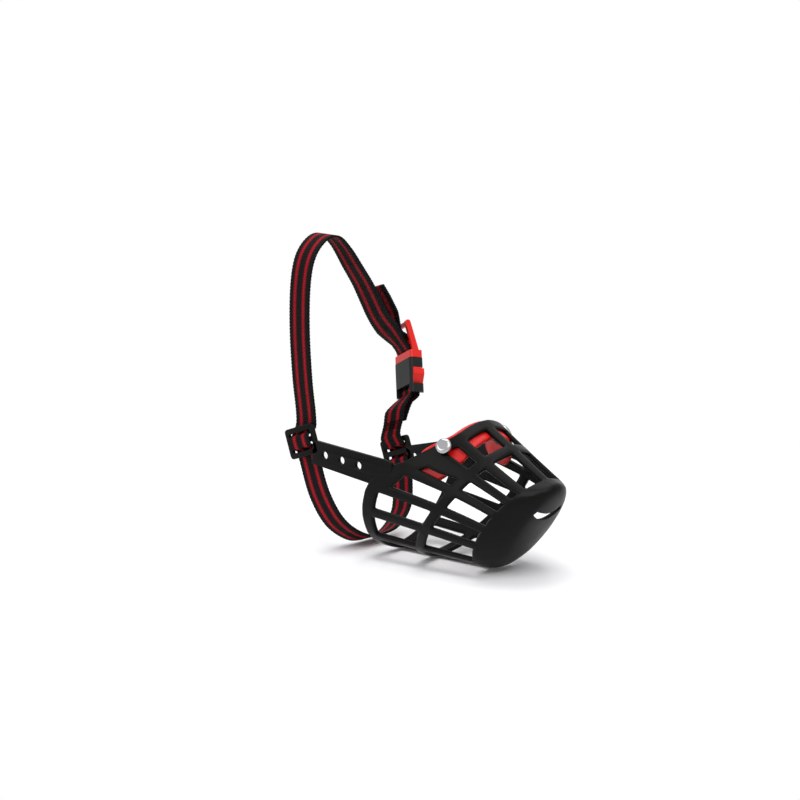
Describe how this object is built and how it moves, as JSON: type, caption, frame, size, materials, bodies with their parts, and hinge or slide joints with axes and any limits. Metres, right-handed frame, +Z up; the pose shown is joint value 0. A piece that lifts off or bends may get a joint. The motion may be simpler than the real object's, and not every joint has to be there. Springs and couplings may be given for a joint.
{
  "type": "basket muzzle",
  "caption": "Moulded basket muzzle with slanted nose cup, padded arch, two side arms, woven chin and neck straps and a side-release buckle.",
  "frame": {"origin": "on the bench plane, midway between the side arms, below the basket's cross rib", "axes": "+Z up, nose towards -Y, mouth and arms towards +Y, buckle on the +X side"},
  "size_m": [0.124, 0.2174, 0.2263],
  "materials": {
    "black_plastic": "satin",
    "red_pad": "matt",
    "rivet_chrome": "polished",
    "webbing": "woven",
    "buckle_dark": "satin",
    "buckle_red": "satin"
  },
  "bodies": {
    "muzzle": {"basket": "black_plastic", "nose_pad": "red_pad", "rivet_near": "rivet_chrome", "rivet_far": "rivet_chrome", "rivet_washer_near": "rivet_chrome", "rivet_washer_far": "rivet_chrome", "chin_strap": "webbing"},
    "neck_loop": {"buckle_strap": "webbing", "buckle_socket": "buckle_dark"},
    "plug": {"buckle_plug": "buckle_red", "neck_strap": "webbing"},
    "prong_front": {"prong_front": "buckle_red"},
    "prong_back": {"prong_back": "buckle_red"}
  },
  "joints": [
    {"name": "neck_loop_swing", "type": "hinge", "parent": "muzzle", "child": "neck_loop", "pos_m": [-0.047, 0.11581, 0.08975], "axis": [0.9711, -0.0723, -0.2273], "range_deg": [-12, 12]},
    {"name": "buckle_release", "type": "slide", "parent": "neck_loop", "child": "plug", "axis": [0.2825, 0.3076, 0.9086], "range_m": [0, 0.026], "deforming": ["prong_front", "prong_back"]},
    {"name": "prong_front_squeeze", "type": "hinge", "parent": "plug", "child": "prong_front", "pos_m": [0.05977, 0.10017, 0.1261], "axis": [0.9061, -0.3964, -0.1475], "range_deg": [0, 8]},
    {"name": "prong_back_squeeze", "type": "hinge", "parent": "plug", "child": "prong_back", "pos_m": [0.06543, 0.11574, 0.11907], "axis": [-0.9061, 0.3964, 0.1475], "range_deg": [0, 8]}
  ]
}
